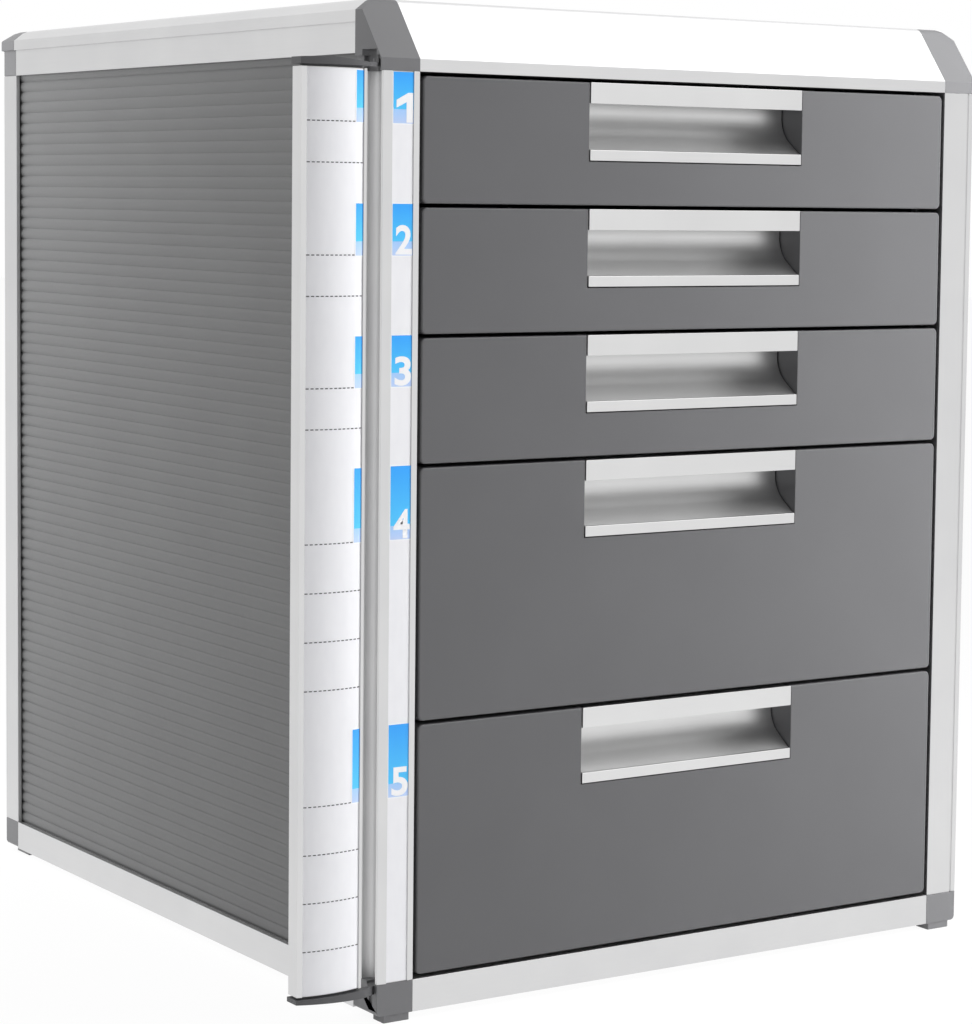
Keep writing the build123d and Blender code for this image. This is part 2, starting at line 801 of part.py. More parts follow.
def upper_pocket():
    ceiling = upper_arm_bottom + arm_plate + pocket_play
    scoop_top = opening_top + cap_scoop_height
    outside = left - 2
    cut = post(pivot_x, pivot_y, knuckle_radius + pocket_play, opening_top - 1, ceiling)
    cut += post(pivot_x, pivot_y, pin_radius + pin_play, ceiling - 1, ceiling + upper_pin_length)
    cut += block(outside, pivot_x, pivot_y - slot_width / 2, pivot_y + slot_width / 2, ceiling - 1, scoop_top)
    y0 = front + cap_mouth_inset
    mouth_top = opening_top + cap_mouth_height
    cut += block(outside, left + cap_mouth_depth, y0, y0 + cap_mouth_length, opening_top, mouth_top)
    cut += block(outside, left, front + cheek_mouth_inset, crest_back + 1, opening_top, mouth_top)
    cut += post(left - cap_scoop_offset, front + cap_scoop_setback, cap_scoop_radius, opening_top, scoop_top)
    return cut & block(outside, pivot_x + 5, front, front + 25, opening_top, total_height)


# All nodes by name
def nodes():
    roof = roof_body()
    named = {
        "post_front_left": front_left_post(),
        "post_front_right": front_right_post(),
        "post_back_left": back_left_post(),
        "post_back_right": mirrored(back_left_post()),
        "base_rail_front": front_base_rail(),
        "base_rail_back": back_base_rail(),
        "base_rail_left": drilled_for_board(side_base_rail()),
        "base_rail_right": mirrored(drilled_for_board(side_base_rail())),
        "top_rail_front": front_top_rail(),
        "top_rail_back": back_top_rail(roof),
        "top_rail_left": drilled_for_board(side_top_rail(roof)),
        "top_rail_right": mirrored(drilled_for_board(side_top_rail(roof))),
        "top_cap_front_left": front_cap(roof) - upper_pocket(),
        "top_cap_front_right": mirrored(front_cap(roof)),
        "top_cap_back_left": back_cap(roof),
        "top_cap_back_right": mirrored(back_cap(roof)),
        "foot_front_left": front_foot() - lower_pocket(),
        "foot_front_right": mirrored(front_foot()),
        "foot_back_left": back_foot(),
        "foot_back_right": mirrored(back_foot()),
        "top_panel": top_panel(),
        "bottom_panel": bottom_panel(),
        "side_panel_left": side_panel(),
        "side_panel_right": mirrored(side_panel()),
        "back_panel": back_panel(),
        "runner_board_left": runner_board(),
        "runner_board_right": mirrored(runner_board()),
        "number_strip": number_strip(),
        "index_flap_profile": flap_profile(),
        "index_flap_card": flap_card(),
        "index_flap_upper_arm": upper_arm(),
        "index_flap_lower_arm": lower_arm(),
    }
    screws = [board_screw(y, z) for y, z in board_screw_places()]
    named["runner_board_screws"] = Compound(screws + [mirrored(screw) for screw in screws])
    for number, (z0, height) in enumerate(drawer_places(), start=1):
        named[f"drawer_{number}_front"] = drawer_front(z0, height)
        named[f"drawer_{number}_pull"] = pull_profile(z0 + height)
        named[f"drawer_{number}_tray"] = drawer_tray(z0, height)
        named[f"drawer_{number}_screws"] = Compound(drawer_screws(z0, height))
    return named


def write_parts():
    os.makedirs("parts", exist_ok=True)
    for name, shape in nodes().items():
        placed = Pos(origin_shift_x, origin_shift_y, 0) * shape
        export_step(placed, f"parts/{name}.step")


if __name__ == "__main__":
    write_parts()
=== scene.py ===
# %% [markdown]
# This lesson gives a small desk drawer cabinet its finishes. The solids of the cabinet come from a
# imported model, in metres, with X to the right along the drawers, Y to the back and Z up.
# A shape could be drawn again here, but then it would drift from the model, so each rigid piece
# starts from the model's own mesh and only gets what the solid lacks: softened edges and a surface.

# %% Load the model
import json
import math
import bmesh
import bpy
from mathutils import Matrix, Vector


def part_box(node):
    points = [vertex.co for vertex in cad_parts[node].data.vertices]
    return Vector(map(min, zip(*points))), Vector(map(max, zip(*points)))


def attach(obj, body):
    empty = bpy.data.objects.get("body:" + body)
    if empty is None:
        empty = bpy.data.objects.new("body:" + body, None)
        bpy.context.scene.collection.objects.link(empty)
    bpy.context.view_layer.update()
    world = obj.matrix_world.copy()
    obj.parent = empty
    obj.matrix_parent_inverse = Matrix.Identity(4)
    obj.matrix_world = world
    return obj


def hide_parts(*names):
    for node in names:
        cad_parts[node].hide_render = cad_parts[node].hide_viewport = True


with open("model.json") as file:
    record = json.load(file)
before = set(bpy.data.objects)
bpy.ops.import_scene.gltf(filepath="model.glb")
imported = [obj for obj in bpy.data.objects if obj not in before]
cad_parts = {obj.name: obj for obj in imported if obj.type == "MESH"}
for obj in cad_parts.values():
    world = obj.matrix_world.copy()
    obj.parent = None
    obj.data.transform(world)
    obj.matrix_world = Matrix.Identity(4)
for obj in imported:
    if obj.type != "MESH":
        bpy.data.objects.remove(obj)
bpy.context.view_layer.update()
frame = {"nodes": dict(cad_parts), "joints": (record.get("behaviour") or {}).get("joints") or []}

MM = 0.001

# %% [markdown]
# Colours are easiest to read as the hex values of a colour picker. A shader works in linear light,
# so one function turns a hex value into the linear colour, and no other colour maths is needed.

# %% Turn a hex colour into linear light


def linear(hex_colour):
    channels = [int(hex_colour[i:i + 2], 16) / 255 for i in (1, 3, 5)]
    curve = [c / 12.92 if c <= 0.04045 else ((c + 0.055) / 1.055) ** 2.4 for c in channels]
    return (*curve, 1.0)


print("mid grey in linear light", round(linear("#808080")[0], 3))

# %% [markdown]
# A material is a small graph of nodes. One helper adds a node, sets it and links it, so each finish
# below reads as a list of what it is made of.

# %% Add a shader node
PLASTIC_IOR = 1.5


def add_node(tree, kind, settings=None, values=None, links=None):
    node = tree.nodes.new(kind)
    for name, value in (settings or {}).items():
        setattr(node, name, value)
    for name, value in (values or {}).items():
        node.inputs[name].default_value = value
    for name, source in (links or {}).items():
        tree.links.new(source, node.inputs[name])
    return node


def new_finish(name, colour, metallic, roughness, ior=PLASTIC_IOR):
    material = bpy.data.materials.new(name)
    material.use_nodes = True
    tree = material.node_tree
    shader = tree.nodes["Principled BSDF"]
    shader.inputs["Base Color"].default_value = linear(colour)
    shader.inputs["Metallic"].default_value = metallic
    shader.inputs["Roughness"].default_value = roughness
    if not metallic:
        shader.inputs["IOR"].default_value = ior
    place = add_node(tree, "ShaderNodeTexCoord").outputs["Object"]
    return material, tree, shader, place


# %% [markdown]
# A pattern needs a real size. Texture space here is metres, so a pattern that repeats every few
# tenths of a millimetre is scaled by one over that length. A stretched noise gives the fine lines
# that a die leaves along an extrusion, and an even noise gives the grain of a moulded surface.
# Nearly every finish uses two patterns: a slow cloud for the tone, and a fine one for gloss and relief.

# %% Patterns with a real size
CLOUD_DETAIL = 2.0


def noise_of_size(tree, place, size_mm, detail=3.0):
    scale = [1 / (s * MM) for s in size_mm]
    spread = add_node(tree, "ShaderNodeMapping", values={"Scale": scale}, links={"Vector": place})
    noise = add_node(tree, "ShaderNodeTexNoise", values={"Scale": 1.0, "Detail": detail},
                     links={"Vector": spread.outputs["Vector"]})
    return noise.outputs["Fac"]


def work_surface(tree, shader, cloud, grain, tones, gloss, depth_mm):
    # tones are the darkest and lightest colour, gloss the least and greatest roughness
    mix = add_node(tree, "ShaderNodeMix", {"data_type": "RGBA"},
                   {"A": linear(tones[0]), "B": linear(tones[1])}, {"Factor": cloud})
    sheen = add_node(tree, "ShaderNodeMapRange", values={"To Min": gloss[0], "To Max": gloss[1]},
                     links={"Value": grain})
    bump = add_node(tree, "ShaderNodeBump", values={"Distance": depth_mm * MM}, links={"Height": grain})
    tree.links.new(mix.outputs["Result"], shader.inputs["Base Color"])
    tree.links.new(sheen.outputs["Result"], shader.inputs["Roughness"])
    tree.links.new(bump.outputs["Normal"], shader.inputs["Normal"])


# %% [markdown]
# Gloss varies a little round the roughness that a finish is given: more on a drawn or moulded
# surface, and less on paint, paper and ink, which lie smoother.

# %% How far the gloss varies
WORKED_SPREAD = (-0.05, 0.07)
SMOOTH_SPREAD = (-0.04, 0.06)


def gloss_round(roughness, spread):
    return [roughness + offset for offset in spread]


print("gloss of a moulded surface", gloss_round(0.42, WORKED_SPREAD))

# %% [markdown]
# The posts, rails and pulls are anodised aluminium extrusions. Anodising leaves a pale satin metal,
# and the die leaves faint lines along the length. The metal is a full metallic shader, and the lines
# are a noise about 0.6 mm across and 40 mm long, in the roughness and in a very shallow relief.

# %% Anodised aluminium, drawn along one axis
DIE_LINE_WIDTH = 0.6
DIE_LINE_LENGTH = 40.0
DIE_LINE_DEPTH = 0.012
METAL_CLOUD = 30.0


def anodised_aluminium(name, dark, light, long_axis, roughness=0.42):
    material, tree, shader, place = new_finish(name, light, 1.0, roughness)
    size = [DIE_LINE_WIDTH] * 3
    size[long_axis] = DIE_LINE_LENGTH
    lines = noise_of_size(tree, place, size)
    cloud = noise_of_size(tree, place, (METAL_CLOUD,) * 3, CLOUD_DETAIL)
    gloss = gloss_round(roughness, WORKED_SPREAD)
    work_surface(tree, shader, cloud, lines, (dark, light), gloss, DIE_LINE_DEPTH)
    return material


ALUMINIUM = {axis: anodised_aluminium(f"anodised_aluminium_{axis}", "#d6d6d7", "#e0e0e0", i)
             for i, axis in enumerate("xyz")}
PULL_ALUMINIUM = anodised_aluminium("anodised_pull_aluminium", "#dadada", "#e4e4e4", 0, 0.36)
print("aluminium finishes", [m.name for m in ALUMINIUM.values()], PULL_ALUMINIUM.name)

# %% [markdown]
# The corners, drawer fronts, arms, trays and runner boards are moulded plastic. A mould has a fine
# spark-eroded grain, which breaks up a reflection but hardly shows as bumps from a metre away.
# The grain is drawn 0.8 mm across, coarser than the real 0.1 mm, so that it can show at all.

# %% Moulded plastic with a fine grain
MOULD_CLOUD = 45.0
GRAIN_DETAIL = 4.0


def moulded_plastic(name, dark, light, roughness, grain_mm=0.8, depth_mm=0.012):
    material, tree, shader, place = new_finish(name, light, 0.0, roughness)
    grain = noise_of_size(tree, place, (grain_mm,) * 3, GRAIN_DETAIL)
    cloud = noise_of_size(tree, place, (MOULD_CLOUD,) * 3, CLOUD_DETAIL)
    gloss = gloss_round(roughness, WORKED_SPREAD)
    work_surface(tree, shader, cloud, grain, (dark, light), gloss, depth_mm)
    return material


CORNER_ABS = moulded_plastic("moulded_abs_corner_grey", "#6e6e70", "#757577", 0.42)
FRONT_ABS = moulded_plastic("moulded_abs_drawer_front_grey", "#5a5a5c", "#606062", 0.34)
ARM_ABS = moulded_plastic("moulded_abs_flap_arm_grey", "#4c4c4e", "#535355", 0.42)
TRAY_POLYSTYRENE = moulded_plastic("moulded_polystyrene_tray_grey", "#4a4a4c", "#505052", 0.5)
RUNNER_POLYSTYRENE = moulded_plastic("moulded_polystyrene_runner_black", "#2e2e30", "#343436", 0.55)
PLASTICS = [CORNER_ABS, FRONT_ABS, ARM_ABS, TRAY_POLYSTYRENE, RUNNER_POLYSTYRENE]
print("plastics", [plastic.name for plastic in PLASTICS])

# %% [markdown]
# The sides are ribbed sheets of a slightly duller grey, and the top, bottom and back are flat painted
# sheets. Sprayed paint has a soft orange-peel ripple about 2 mm across.

# %% Ribbed sheet and painted sheet
SIDE_SHEET = moulded_plastic("extruded_side_sheet_grey", "#636364", "#696a6a", 0.4, 1.0, 0.01)
PAINT_ROUGHNESS = 0.4
PAINT_CLOUD = 80.0
RIPPLE_SIZE = 2.0
RIPPLE_DETAIL = 1.0
RIPPLE_DEPTH = 0.02


def sprayed_paint(name, dark, light):
    material, tree, shader, place = new_finish(name, light, 0.0, PAINT_ROUGHNESS)
    ripple = noise_of_size(tree, place, (RIPPLE_SIZE,) * 3, RIPPLE_DETAIL)
    cloud = noise_of_size(tree, place, (PAINT_CLOUD,) * 3, CLOUD_DETAIL)
    gloss = gloss_round(PAINT_ROUGHNESS, SMOOTH_SPREAD)
    work_surface(tree, shader, cloud, ripple, (dark, light), gloss, RIPPLE_DEPTH)
    return material


SHEET_PAINT = sprayed_paint("sprayed_sheet_grey", "#a2a2a4", "#a8a8aa")
print("sheet finishes", SIDE_SHEET.name, SHEET_PAINT.name)

# %% [markdown]
# The number strip and the flap's card are smooth coated paper with printed ink. The paper has a faint
# lavender tone. The ink pieces are flat shapes of their own, because crisp edges are cheaper in a
# mesh than in a pattern, and they move with the card. Each blue tab gets lighter towards its foot.

# %% Coated card, ink and zinc-plated steel
PAPER_IOR = 1.48
FIBRE_SIZE = (3.0, 3.0, 9.0)
FIBRE_DEPTH = 0.01
INK_ROUGHNESS = 0.34
INK_SPECKLE = 0.5
INK_DEPTH = 0.004


def coated_card(name, dark, light, roughness=0.36):
    material, tree, shader, place = new_finish(name, light, 0.0, roughness, PAPER_IOR)
    fibre = noise_of_size(tree, place, FIBRE_SIZE)
    gloss = gloss_round(roughness, SMOOTH_SPREAD)
    work_surface(tree, shader, fibre, fibre, (dark, light), gloss, FIBRE_DEPTH)
    return material


def graded_ink(name, low, high):
    material, tree, shader, place = new_finish(name, high, 0.0, INK_ROUGHNESS, PAPER_IOR)
    own = add_node(tree, "ShaderNodeTexCoord").outputs["Generated"]
    parts = add_node(tree, "ShaderNodeSeparateXYZ", links={"Vector": own})
    speckle = noise_of_size(tree, place, (INK_SPECKLE,) * 3)
    gloss = gloss_round(INK_ROUGHNESS, SMOOTH_SPREAD)
    work_surface(tree, shader, parts.outputs["Z"], speckle, (low, high), gloss, INK_DEPTH)
    return material


CARD = coated_card("coated_card_lavender_white", "#ededf1", "#f4f4f7")
WHITE_INK = coated_card("printed_white_ink", "#f4f5f8", "#fbfbfd")
BLUE_INK = graded_ink("printed_blue_ink", "#52c8ff", "#36a6ff")
PALE_INK = graded_ink("printed_pale_blue_ink", "#c0d4fa", "#a6d0ff")
LINE_INK = coated_card("printed_grey_ink", "#4c4c52", "#5a5a60")
ZINC_STEEL = anodised_aluminium("zinc_plated_steel", "#a8a8a6", "#b6b6b2", 1, 0.3)
print("finishes", len(bpy.data.materials))

# %% [markdown]
# The solids have knife-sharp edges, and a real edge is never that sharp: it catches a thin line of
# light. A bevel modifier on the model's mesh rounds each edge by a few tenths of a millimetre.
# The mesh comes in as triangles, so flat neighbours are joined first, or the bevel would tear.
# Weighted normals then keep the flat faces flat to the eye.

# %% Soften the edges of a node
WELD_DISTANCE = 0.002
FLAT_ANGLE = math.radians(0.3)
EDGE_ANGLE = math.radians(32)


def add_piece(name, mesh, material, body, replaced=()):
    piece = bpy.data.objects.new(name, mesh)
    bpy.context.scene.collection.objects.link(piece)
    mesh.materials.clear()
    mesh.materials.append(material)
    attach(piece, body)
    if replaced:
        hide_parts(*replaced)
    return piece


def finished_mesh(shape, name):
    mesh = bpy.data.meshes.new(name)
    shape.to_mesh(mesh)
    shape.free()
    return mesh


def joined_flats(node):
    shape = bmesh.new()
    shape.from_mesh(frame["nodes"][node].data)
    bmesh.ops.remove_doubles(shape, verts=shape.verts, dist=WELD_DISTANCE * MM)
    bmesh.ops.dissolve_limit(shape, angle_limit=FLAT_ANGLE, verts=shape.verts, edges=shape.edges)
    return finished_mesh(shape, f"{node}_joined")


def evaluated_mesh(holder):
    graph = bpy.context.evaluated_depsgraph_get()
    mesh = bpy.data.meshes.new_from_object(holder.evaluated_get(graph), depsgraph=graph)
    bpy.data.objects.remove(holder)
    return mesh


def softened(node, width_mm, material, body, segments=2):
    holder = bpy.data.objects.new(f"{node}_holder", joined_flats(node))
    bpy.context.scene.collection.objects.link(holder)
    bevel = holder.modifiers.new("soft_edges", "BEVEL")
    bevel.width = width_mm * MM
    bevel.segments = segments
    bevel.limit_method = "ANGLE"
    bevel.angle_limit = EDGE_ANGLE
    bevel.use_clamp_overlap = True
    holder.data.shade_smooth()
    holder.modifiers.new("flat_faces", "WEIGHTED_NORMAL").keep_sharp = True
    return add_piece(f"{node}_finished", evaluated_mesh(holder), material, body, [node])


# %% [markdown]
# The frame: four posts, four base rails and four top rails. Each gets the aluminium whose lines run
# along its own length. Sawn ends stay hidden inside the corners. The flap's profile has finer edges.

# %% Dress the extrusions
EXTRUSION_EDGE = 0.25
FLAP_EDGE = 0.2
EXTRUSIONS = {"z": ["post_front_left", "post_front_right", "post_back_left", "post_back_right"],
              "x": ["base_rail_front", "base_rail_back", "top_rail_front", "top_rail_back"],
              "y": ["base_rail_left", "base_rail_right", "top_rail_left", "top_rail_right"]}
for axis, nodes in EXTRUSIONS.items():
    for node in nodes:
        softened(node, EXTRUSION_EDGE, ALUMINIUM[axis], "cabinet")
softened("index_flap_profile", FLAP_EDGE, ALUMINIUM["z"], "index_flap")
print("extrusions dressed", sum(len(nodes) for nodes in EXTRUSIONS.values()) + 1)

# %% [markdown]
# The corners are moulded, with edges rounded more than the metal's. The flap's arms are a darker grey.

# %% Dress the corners and arms
MOULDED_SEGMENTS = 3
CORNER_EDGE = 0.45
ARM_EDGE = 0.3
ENDS = ["front_left", "front_right", "back_left", "back_right"]
CORNERS = [f"{corner}_{end}" for end in ENDS for corner in ("top_cap", "foot")]
ARMS = ["index_flap_upper_arm", "index_flap_lower_arm"]
for corner in CORNERS:
    softened(corner, CORNER_EDGE, CORNER_ABS, "cabinet", MOULDED_SEGMENTS)
for arm in ARMS:
    softened(arm, ARM_EDGE, ARM_ABS, "index_flap", MOULDED_SEGMENTS)
print("corners dressed", len(CORNERS), "arms dressed", len(ARMS))

# %% [markdown]
# Each drawer is one body: a front with a pocket, a pull profile set in it, a tray and four screws.

# %% Dress the drawers
DRAWERS = range(1, 6)
FRONT_EDGE = 0.35
PULL_EDGE = 0.25
TRAY_EDGE = 0.3
SCREW_EDGE = 0.25
for number in DRAWERS:
    body = f"drawer_{number}"
    softened(f"{body}_front", FRONT_EDGE, FRONT_ABS, body, MOULDED_SEGMENTS)
    softened(f"{body}_pull", PULL_EDGE, PULL_ALUMINIUM, body)
    softened(f"{body}_tray", TRAY_EDGE, TRAY_POLYSTYRENE, body)
    softened(f"{body}_screws", SCREW_EDGE, ZINC_STEEL, body)
print("drawers dressed", len(DRAWERS))

# %% [markdown]
# Inside and behind: the flat sheets, the runner boards and their screws.

# %% Dress the sheets and runner boards
SIDES = ("left", "right")
SHEETS = ("top_panel", "bottom_panel", "back_panel")
SHEET_EDGE = 0.3
RUNNER_EDGE = 0.25
RUNNER_SCREW_EDGE = 0.2
for sheet in SHEETS:
    softened(sheet, SHEET_EDGE, SHEET_PAINT, "cabinet")
for side in SIDES:
    softened(f"runner_board_{side}", RUNNER_EDGE, RUNNER_POLYSTYRENE, "cabinet")
softened("runner_board_screws", RUNNER_SCREW_EDGE, ZINC_STEEL, "cabinet")
print("sheets dressed", len(SHEETS), "runner boards", len(SIDES))

# %% [markdown]
# The side sheet has shallow level bands, 5 mm apart, with a fine groove between them. The groove and
# the slight crown of each band are drawn as one long profile that is pulled from front to back. That
# is lighter than a pattern, and the lines stay true in the exported mesh.

# %% The profile of the bands
RIB_PITCH = 5.0
GROOVE_WIDTH = 1.5
GROOVE_DEPTH = 0.75
WALL_SHARE = 0.75              # of the groove's depth, halfway up its wall
CROWN = 0.22
SHOULDER_CROWNS = (1.5, 0.6)   # depth of the band's shoulder in crowns, at the groove's edge and beyond it
EDGE_DEPTH = 0.1
FIRST_GROOVE_RISE = 16.0       # above the underside of the feet
FIRST_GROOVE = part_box("foot_front_left")[0].z / MM + FIRST_GROOVE_RISE


def band_profile(low_z, high_z):
    # Pairs of height and depth below the sheet's outer plane, in millimetres
    half_band = [(0.0, GROOVE_DEPTH), (GROOVE_WIDTH / 4, WALL_SHARE * GROOVE_DEPTH),
                 (GROOVE_WIDTH / 2, SHOULDER_CROWNS[0] * CROWN), (GROOVE_WIDTH, SHOULDER_CROWNS[1] * CROWN)]
    other_half = [(RIB_PITCH - rise, depth) for rise, depth in half_band[:0:-1]]
    steps = half_band + [(RIB_PITCH / 2, 0.0)] + other_half
    base = FIRST_GROOVE - RIB_PITCH * math.ceil((FIRST_GROOVE - low_z) / RIB_PITCH)
    points = []
    while base < high_z:
        points += [(base + rise, depth) for rise, depth in steps if low_z < base + rise < high_z]
        base += RIB_PITCH
    return [(low_z, EDGE_DEPTH)] + points + [(high_z, EDGE_DEPTH)]


print("first groove", round(FIRST_GROOVE, 1), "mm above the floor")

# %% Ribbed side sheets
RIB_SHARP_ANGLE = math.radians(50)


def ribbed_sheet(side):
    low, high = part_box(f"side_panel_{side}")
    outward = -1 if side == "left" else 1
    outer, inner = (low.x, high.x) if side == "left" else (high.x, low.x)
    shape = bmesh.new()
    rows = []
    for z_mm, depth in band_profile(low.z / MM, high.z / MM):
        x = outer - outward * depth * MM
        rows.append([shape.verts.new((x, y, z_mm * MM)) for y in (low.y, high.y)])
    backs = [[shape.verts.new((inner, y, z)) for y in (low.y, high.y)] for z in (low.z, high.z)]
    ring = [backs[0]] + rows + [backs[1]]
    for below, above in zip(ring, ring[1:] + ring[:1]):
        shape.faces.new((below[0], below[1], above[1], above[0]))
    for end in (0, 1):
        shape.faces.new([row[end] for row in ring])
    bmesh.ops.recalc_face_normals(shape, faces=shape.faces)
    mesh = finished_mesh(shape, f"side_panel_{side}_ribbed")
    mesh.shade_smooth()
    mesh.set_sharp_from_angle(angle=RIB_SHARP_ANGLE)
    return add_piece(mesh.name, mesh, SIDE_SHEET, "cabinet", [f"side_panel_{side}"])


for side in SIDES:
    print(ribbed_sheet(side).name, "pitch", RIB_PITCH, "mm")

# %% [markdown]
# The number strip slides into the post, and the flap's card into the flap. Both carry a blue tab for
# each drawer, level with the drawer's upper edge, and the flap's card has dashed lines to write on.

# %% Dress the card stock
CARD_EDGE = 0.05
CARD_SEGMENTS = 1
CARDS = {"number_strip": "cabinet", "index_flap_card": "index_flap"}
for node, body in CARDS.items():
    softened(node, CARD_EDGE, CARD, body, CARD_SEGMENTS)
print("cards dressed", len(CARDS))

# %% [markdown]
# A patch of ink is a grid of small faces laid a few hundredths of a millimetre in front of the card.
# The card on the post is flat. The flap's card is bent, so its patches follow the same circle that
# the flap's face follows: the circle through three points of the face, set out from the hinge pin.

# %% Where the two printed faces lie
INK_LIFT = 0.03
OVERPRINT_LIFT = 0.05
FLAP_FACE_POINTS = ((9.1, 5.4), (24.1, 7.4), (37.6, 5.3))   # outward and forward of the pin
FLAP_CARD_DEPTH = 0.45
strip_low, strip_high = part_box("number_strip")
PIVOT = Vector(next(joint for joint in frame["joints"] if joint["name"] == "index_flap_swing")["pos_m"])


def circle_through(a, b, c):
    d = 2 * (a[0] * (b[1] - c[1]) + b[0] * (c[1] - a[1]) + c[0] * (a[1] - b[1]))
    sa, sb, sc = (p[0] ** 2 + p[1] ** 2 for p in (a, b, c))
    x = (sa * (b[1] - c[1]) + sb * (c[1] - a[1]) + sc * (a[1] - b[1])) / d
    y = (sa * (c[0] - b[0]) + sb * (a[0] - c[0]) + sc * (b[0] - a[0])) / d
    return x, y, math.hypot(a[0] - x, a[1] - y)


CENTRE_OUT, CENTRE_FORWARD, FACE_RADIUS = circle_through(*FLAP_FACE_POINTS)


def on_strip(across, z_mm, lift=INK_LIFT):
    # across runs in millimetres from the strip's outer edge
    return (strip_low.x + across * MM, strip_low.y - lift * MM, z_mm * MM)


def on_flap(out, z_mm, lift=INK_LIFT):
    # out runs in millimetres from the hinge pin to the free edge
    radius = FACE_RADIUS - FLAP_CARD_DEPTH + lift
    forward = CENTRE_FORWARD + math.sqrt(radius ** 2 - (out - CENTRE_OUT) ** 2)
    return (PIVOT.x - out * MM, PIVOT.y - forward * MM, z_mm * MM)


print("flap face radius", round(FACE_RADIUS, 1), "mm")

# %% [markdown]
# Each patch is made by one function that asks where a point of the print lies, so the same code
# prints on the flat strip and on the bent card. One piece can hold many patches, such as all the
# dashes beside one drawer, because nearly two hundred separate objects would only slow the file down.

# %% Print patches


def printed(name, where, rectangles, material, body, lift=INK_LIFT, columns=1):
    # Each rectangle is side_a, side_b, z_low, z_high in millimetres
    shape = bmesh.new()
    for side_a, side_b, z_low, z_high in rectangles:
        steps = [side_a + (side_b - side_a) * i / columns for i in range(columns + 1)]
        rows = [[shape.verts.new(where(s, z, lift)) for s in steps] for z in (z_low, z_high)]
        for i in range(columns):
            shape.faces.new((rows[0][i], rows[0][i + 1], rows[1][i + 1], rows[1][i]))
    shape.normal_update()
    for face in shape.faces:
        if face.normal.y > 0:
            face.normal_flip()
    return add_piece(name, finished_mesh(shape, name), material, body)


# %% [markdown]
# The tabs are 20 mm tall beside a small drawer and 29 mm beside a large one, with a pale band at the
# bottom and a thin white edge. The first tab runs up to the top of the card.

# %% Print the tabs
SMALL_DRAWERS = 3
SMALL_TAB = 19.8
LARGE_TAB = 28.6
PALE_BAND = 5.4
TAB_RISE = 1.3
WHITE_EDGE = 0.45
STRIP_WINDOW = (0.65, 10.2)
FLAP_WINDOW = (10.6, 35.4)
FLAP_TAB_WIDTH = 3.6
FLAP_TAB_COLUMNS = 4           # steps that let a tab follow the bent card


def tab_places():
    for number in DRAWERS:
        front_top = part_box(f"drawer_{number}_front")[1].z / MM
        large = number > SMALL_DRAWERS
        top = front_top + TAB_RISE
        bottom = top - (LARGE_TAB if large else SMALL_TAB)
        yield number, bottom, (strip_high.z / MM if number == 1 else top), large


for number, bottom, top, _ in tab_places():
    split = bottom + PALE_BAND
    edge_top = min(top + WHITE_EDGE, strip_high.z / MM)
    left_side, right_side = STRIP_WINDOW
    near, far = FLAP_WINDOW[0], FLAP_WINDOW[0] + FLAP_TAB_WIDTH
    printed(f"strip_tab_edge_{number}", on_strip, [(left_side, right_side, bottom - WHITE_EDGE, edge_top)],
            WHITE_INK, "cabinet")
    printed(f"flap_tab_edge_{number}", on_flap, [(near, far + WHITE_EDGE, bottom - WHITE_EDGE, edge_top)],
            WHITE_INK, "index_flap", columns=FLAP_TAB_COLUMNS)
    for part, low_z, high_z, ink in (("tab", split, top, BLUE_INK), ("tab_foot", bottom, split, PALE_INK)):
        printed(f"strip_{part}_{number}", on_strip, [(left_side + WHITE_EDGE, right_side, low_z, high_z)],
                ink, "cabinet", OVERPRINT_LIFT)
        printed(f"flap_{part}_{number}", on_flap, [(near, far, low_z, high_z)], ink, "index_flap",
                OVERPRINT_LIFT, FLAP_TAB_COLUMNS)
print("tabs", len(DRAWERS), "from", FLAP_WINDOW[0], "mm outside the hinge pin")

# %% [markdown]
# The numerals 2 to 5 are plain figures from Blender's own font, turned into a mesh so that they
# export, and thickened a little. The font's 1 has no flag, so the 1 is an outline of its own: a stem
# with a slanted flag. All five are stretched to one size and stand at the tab's lower right, in white.

# %% Print the numerals
NUMERAL_HEIGHT = 11.4
NUMERAL_WIDTH = 7.4
NUMERAL_THICKENING = 0.3
NUMERAL_LIFT = 0.08
NUMERAL_MARGIN = 0.3           # from the tab's right side and from its foot
ONE_OUTLINE = ((4.2, 0), (7, 0), (7, 11.4), (4.9, 11.4), (0, 8.6), (0, 5.6), (4.2, 7.8))


def font_figure(number):
    letters = bpy.data.curves.new(f"numeral_{number}_outline", "FONT")
    letters.body = str(number)
    letters.size = NUMERAL_HEIGHT * MM
    letters.offset = NUMERAL_THICKENING * MM
    holder = bpy.data.objects.new(f"numeral_{number}_holder", letters)
    bpy.context.scene.collection.objects.link(holder)
    return evaluated_mesh(holder)


def drawn_one():
    shape = bmesh.new()
    shape.faces.new([shape.verts.new((x, y, 0)) for x, y in ONE_OUTLINE])
    return finished_mesh(shape, "numeral_1")


def stand_numeral(number, mesh, right_side, z_mm):
    xs, ys = ([vertex.co[i] for vertex in mesh.vertices] for i in (0, 1))
    tall = NUMERAL_HEIGHT * MM / (max(ys) - min(ys))
    wide = NUMERAL_WIDTH * MM / (max(xs) - min(xs))
    x, y, z = on_strip(right_side, z_mm, NUMERAL_LIFT)
    for vertex in mesh.vertices:
        vertex.co = (x + (vertex.co.x - max(xs)) * wide, y, z + (vertex.co.y - min(ys)) * tall)
    add_piece(f"strip_numeral_{number}", mesh, WHITE_INK, "cabinet")


for number, bottom, _, _ in tab_places():
    figure = drawn_one() if number == 1 else font_figure(number)
    stand_numeral(number, figure, STRIP_WINDOW[1] - NUMERAL_MARGIN, bottom + NUMERAL_MARGIN)
print("numeral height", NUMERAL_HEIGHT, "mm")

# %% [markdown]
# The dashed lines run across the window of the flap, and the one level with a tab's foot starts beside
# the tab. More lines follow below it, evenly spaced.

